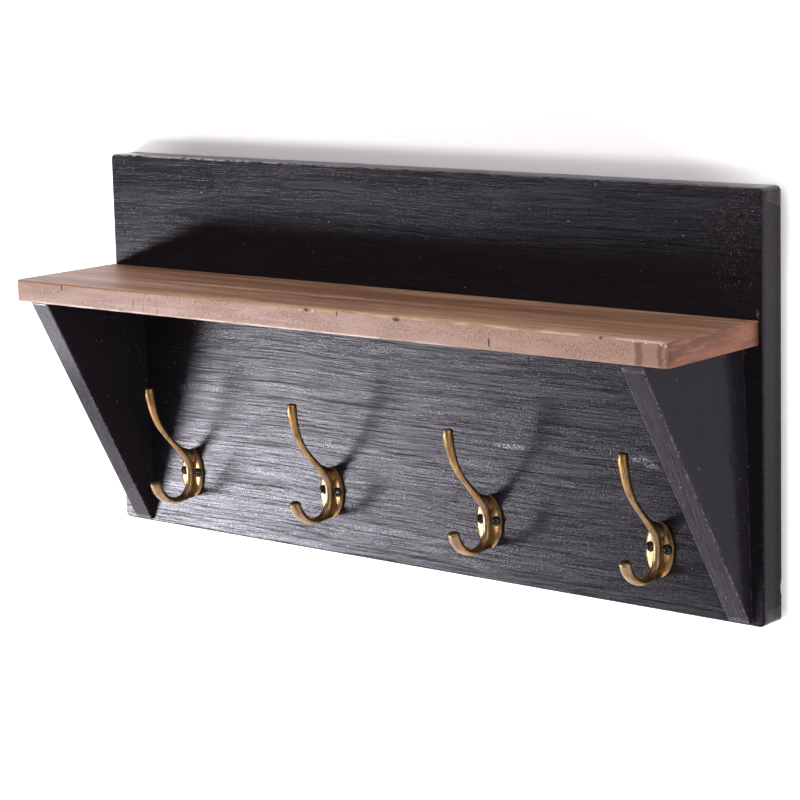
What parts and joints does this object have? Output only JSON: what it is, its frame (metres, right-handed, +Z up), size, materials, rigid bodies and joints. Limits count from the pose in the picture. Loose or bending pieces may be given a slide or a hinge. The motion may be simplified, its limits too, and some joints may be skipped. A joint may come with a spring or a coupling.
{
  "type": "coat rack with shelf",
  "caption": "Wall coat rack: a black plank with a row of double-prong antique brass hooks and a natural wood shelf on two tapered black brackets.",
  "frame": {"origin": "middle of the back board's rear face, which lies against the wall", "axes": "+X along the rack to the viewer's right, +Y into the wall, +Z up"},
  "size_m": [0.6138, 0.128, 0.298],
  "materials": {
    "black_board": "black stain, brushed grain, satin",
    "shelf_wood": "oiled, straight grain, small knots",
    "antique_brass": "antiqued cast brass, rubbed bright on its edges",
    "black_screw": "black oxide, cross recess",
    "zinc_screw": "bright zinc",
    "zinc_plate": "bright zinc, stamped",
    "dowel_wood": "plain beech"
  },
  "bodies": {
    "root": {"back_board": "black_board", "shelf": "shelf_wood", "bracket_left": "black_board", "bracket_right": "black_board", "dowel_left": "dowel_wood", "dowel_right": "dowel_wood", "bracket_left_screw_lower": "zinc_screw", "bracket_left_screw_upper": "zinc_screw", "bracket_right_screw_lower": "zinc_screw", "bracket_right_screw_upper": "zinc_screw", "shelf_screw_1": "zinc_screw", "shelf_screw_2": "zinc_screw", "shelf_screw_3": "zinc_screw", "hook_1": "antique_brass", "hook_1_screw_left": "black_screw", "hook_1_screw_right": "black_screw", "hook_2": "antique_brass", "hook_2_screw_left": "black_screw", "hook_2_screw_right": "black_screw", "hook_3": "antique_brass", "hook_3_screw_left": "black_screw", "hook_3_screw_right": "black_screw", "hook_4": "antique_brass", "hook_4_screw_left": "black_screw", "hook_4_screw_right": "black_screw", "hanger_left": "zinc_plate", "hanger_left_screw_lower": "zinc_screw", "hanger_left_screw_upper": "zinc_screw", "hanger_right": "zinc_plate", "hanger_right_screw_lower": "zinc_screw", "hanger_right_screw_upper": "zinc_screw"}
  },
  "joints": []
}
